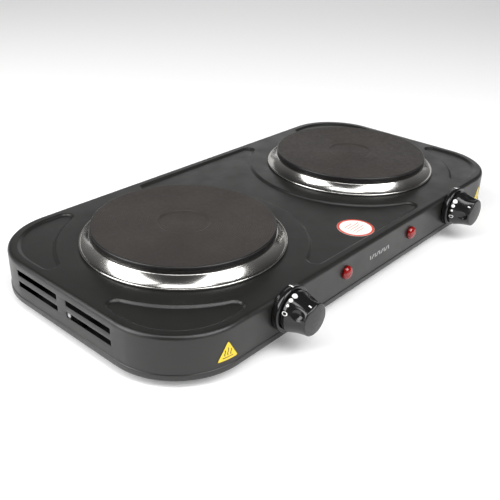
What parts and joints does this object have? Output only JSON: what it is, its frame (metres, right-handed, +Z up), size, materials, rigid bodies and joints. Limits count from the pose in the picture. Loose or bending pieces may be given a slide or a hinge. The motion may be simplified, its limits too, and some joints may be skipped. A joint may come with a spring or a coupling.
{
  "type": "twin hot plate",
  "caption": "Low black electric hob with side-by-side solid plates in bright trim rings, front dial knobs and red pilot lamps.",
  "frame": {"origin": "middle of the object's box in plan, on the surface that the feet stand on", "axes": "+X along the housing's length, +Y from the knobs to the cord entry, +Z up"},
  "size_m": [0.4852, 0.2714, 0.058],
  "materials": {
    "black_enamel": "semi-gloss black stove enamel",
    "base_steel": "black painted steel sheet",
    "cast_iron": "fine-turned, heat-resistant coating",
    "polished_steel": "polished stainless",
    "plain_steel": "zinc plated",
    "coil_sheath": "oxidised",
    "magnesia": "matte",
    "porcelain": "glazed",
    "aluminised": "satin",
    "knob_plastic": "gloss black phenolic",
    "thermostat_case": "moulded phenolic",
    "contact_brass": "bright",
    "red_lens": "translucent red polycarbonate",
    "bulb_glass": "clear",
    "foot_rubber": "matte",
    "black_nylon": "moulded nylon",
    "white_nylon": "moulded nylon",
    "wire_sleeve": "glass-fibre sleeved",
    "yellow_label": "printed film",
    "white_label": "printed film"
  },
  "bodies": {
    "housing": {"base_pan": "base_steel", "base_screws": "plain_steel", "base_tabs": "plain_steel", "cord_clamp_bar": "black_nylon", "cord_clamp_screws": "plain_steel", "cord_gland": "black_nylon", "cord_saddle": "black_nylon", "deck_label": "white_label", "earth_screw": "plain_steel", "foot_front_left": "foot_rubber", "foot_front_right": "foot_rubber", "foot_rear_left": "foot_rubber", "foot_rear_right": "foot_rubber", "foot_screws": "plain_steel", "internal_wiring": "wire_sleeve", "left_centre_stud": "plain_steel", "left_ceramic_potting": "magnesia", "left_clamp_bracket": "plain_steel", "left_corner_label": "yellow_label", "left_heat_shield": "aluminised", "left_heating_coil": "coil_sheath", "left_hotplate": "cast_iron", "left_knob_bezel": "knob_plastic", "left_lamp_bulb": "bulb_glass", "left_lamp_clip": "plain_steel", "left_lamp_lens": "red_lens", "left_plate_cover": "aluminised", "left_stud_nuts": "plain_steel", "left_terminal_insulator": "porcelain", "left_thermostat_body": "thermostat_case", "left_thermostat_contacts": "contact_brass", "left_thermostat_screws": "plain_steel", "left_trim_ring": "polished_steel", "mains_terminal_block": "white_nylon", "right_centre_stud": "plain_steel", "right_ceramic_potting": "magnesia", "right_clamp_bracket": "plain_steel", "right_corner_label": "yellow_label", "right_heat_shield": "aluminised", "right_heating_coil": "coil_sheath", "right_hotplate": "cast_iron", "right_knob_bezel": "knob_plastic", "right_lamp_bulb": "bulb_glass", "right_lamp_clip": "plain_steel", "right_lamp_lens": "red_lens", "right_plate_cover": "aluminised", "right_stud_nuts": "plain_steel", "right_terminal_insulator": "porcelain", "right_thermostat_body": "thermostat_case", "right_thermostat_contacts": "contact_brass", "right_thermostat_screws": "plain_steel", "right_trim_ring": "polished_steel", "top_housing": "black_enamel"},
    "left_control": {"left_knob": "knob_plastic", "left_thermostat_shaft": "plain_steel"},
    "right_control": {"right_knob": "knob_plastic", "right_thermostat_shaft": "plain_steel"}
  },
  "joints": [
    {"name": "left_knob_turn", "type": "hinge", "parent": "housing", "child": "left_control", "pos_m": [-0.128, -0.1083, 0.0305], "axis": [0, -1, 0], "range_deg": [-85, 185]},
    {"name": "right_knob_turn", "type": "hinge", "parent": "housing", "child": "right_control", "pos_m": [0.128, -0.1083, 0.0305], "axis": [0, -1, 0], "range_deg": [-117, 153]}
  ]
}
